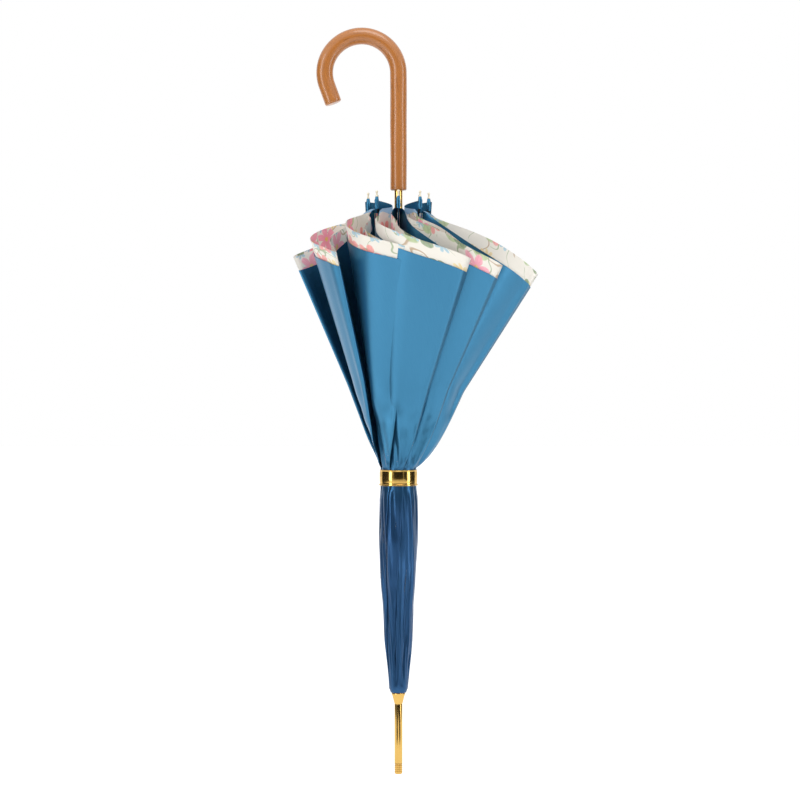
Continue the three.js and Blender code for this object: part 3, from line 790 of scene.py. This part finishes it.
def grid_normals(grid):
    """Unit normals of a grid, pointing away from the shaft's side of the cloth."""
    along = np.gradient(grid, axis=0)
    across = np.gradient(grid, axis=1)
    normal = np.cross(across, along)
    return normal / np.maximum(np.linalg.norm(normal, axis=-1, keepdims=True), 1e-9)


def lift_wrinkles(k, grid, flags, share, rises):
    normal = grid_normals(grid)
    shift = np.zeros(grid.shape[:2])
    for side in (-1, 1):
        columns = np.flatnonzero(flags == side)
        across = share[columns][None, :] + 0 * rises[:, columns]
        shift[:, columns] = wrinkles(k, side, across, rises[:, columns])
    shift[:BUNDLE_ROWS] = 0
    return grid + normal * shift[..., None]


def half_piece(
    name, grid, normal, share, columns, print_start, thickness, materials, node, slot
):
    """One half of a panel as a thin closed sheet that bends from its rib to its fold."""
    part, face, u = grid[:, columns], normal[:, columns], share[columns]
    rows, count = part.shape[:2]
    front = (part + face * thickness / 2).reshape(-1, 3)
    back = (part - face * thickness / 2).reshape(-1, 3)
    total = rows * count
    side_faces = (rows - 1) * (count - 1)
    faces = grid_faces(rows, count) + grid_faces(rows, count, total, True)
    edge = list(range(count))
    edge += [i * count + count - 1 for i in range(1, rows)]
    edge += [(rows - 1) * count + j for j in range(count - 2, -1, -1)]
    edge += [i * count for i in range(rows - 2, 0, -1)]
    for a, b in zip(edge, edge[1:] + edge[:1]):
        faces.append((b, a, total + a, total + b))
    mesh = bpy.data.meshes.new(name)
    mesh.from_pydata([tuple(p) for p in to_row(np.concatenate([front, back]))], [], faces)
    layer = mesh.uv_layers.new(name="UVMap")
    length = np.linspace(0, 1, rows)[:, None]
    width = (1 if columns[0] else -1) * u[None, :] * HALF_PANEL_HEM * length
    height = length * RIB_CLOTH_LENGTH + 0 * width
    coordinates = np.stack([width + print_start, height], axis=-1).reshape(-1, 2)
    coordinates = np.concatenate([coordinates, coordinates])
    index = np.zeros(len(mesh.loops), int)
    mesh.loops.foreach_get("vertex_index", index)
    layer.data.foreach_set("uv", coordinates[index].ravel())
    slots = np.zeros(len(mesh.polygons), int)
    slots[side_faces : 2 * side_faces] = 1
    mesh.shade_smooth()
    flat = face.reshape(-1, 3)
    piece = add_object(name, mesh, materials)
    mesh.polygons.foreach_set("material_index", slots)
    mesh.normals_split_custom_set_from_vertices([tuple(n) for n in np.concatenate([flat, -flat])])
    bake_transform(piece)
    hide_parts(node)
    flat_area = RIB_CLOTH_LENGTH * HALF_PANEL_HEM / 2 * math.cos(CUT_HALF_ANGLE)
    flat_area -= HEM_SCALLOP[slot] * HALF_PANEL_HEM * 2 / 3


def add_cloth(outer_materials, lining_materials):
    layers = (
        ("outer", 0.0, 0.0, 0.0, 0.35, outer_materials, "satin"),
        ("lining", 1.2, 0.068, 0.05, 0.3, lining_materials, "lining"),
    )
    rise = np.concatenate([np.zeros(BUNDLE_ROWS), flare_rise()])
    spread = smoothstep(0.25, 0.52, rise)[:, None, None]
    for k in range(RIBS):
        next_rib = (k + 1) % RIBS + 1
        print_start = 1.37 * (k + 1)
        for kind, inset, overhang, short, thickness, materials, slot in layers:
            grid, flags, share, rises = panel_grid(k, overhang, short)
            grid = lift_wrinkles(k, grid, flags, share, rises)
            normal = grid_normals(grid)
            # the two layers lie against each other until the flare opens
            grid = grid - normal * inset * (0.04 + 0.96 * spread)
            halves = (
                ("left", list(range(ACROSS)), f"rib_{k + 1}", f"outer_gore_{k + 1}"),
                ("right", list(range(ACROSS - 1, 2 * ACROSS - 1)), f"rib_{next_rib}", f"lining_gore_{k + 1}"),
            )
            for half, columns, body, follower in halves:
                name = f"{kind}_panel_{k + 1}_{half}"
                node = f"{kind}_gore_{k + 1}"
                half_piece(
                    name, grid, normal, share, columns, print_start, thickness,
                    materials, node, slot,
                )


# ---- putting it together ----
add_camera()
add_stage()
GOLD = metal_material("polished gold", srgb("#d8b164"), srgb("#a97e35"), 0.10, (900, 900, 30))
STEEL = metal_material("dark steel", srgb("#45474c"), srgb("#26272b"), 0.28, (1500, 1500, 60))
BRASS = metal_material("satin brass", srgb("#b48d4a"), srgb("#8a6427"), 0.25, (700, 700, 700))
BEAD = bead_material()

for name, node in frame["nodes"].items():
    if name.startswith(("rib_", "stretcher_", "crown_wire", "runner_wire", "open_", "closed_")):
        chosen = STEEL
    elif name in ("crown", "stop_pin"):
        chosen = BRASS
    else:
        chosen = GOLD
    node.data.materials.clear()
    node.data.materials.append(chosen)

add_handle(wood_material())
SATIN = satin_material()
add_metal(GOLD, BEAD, SATIN)
add_cloth(
    [SATIN, reverse_material()],
    [lining_material("lining outside", 0.12), lining_material("lining print", 0.0)],
)
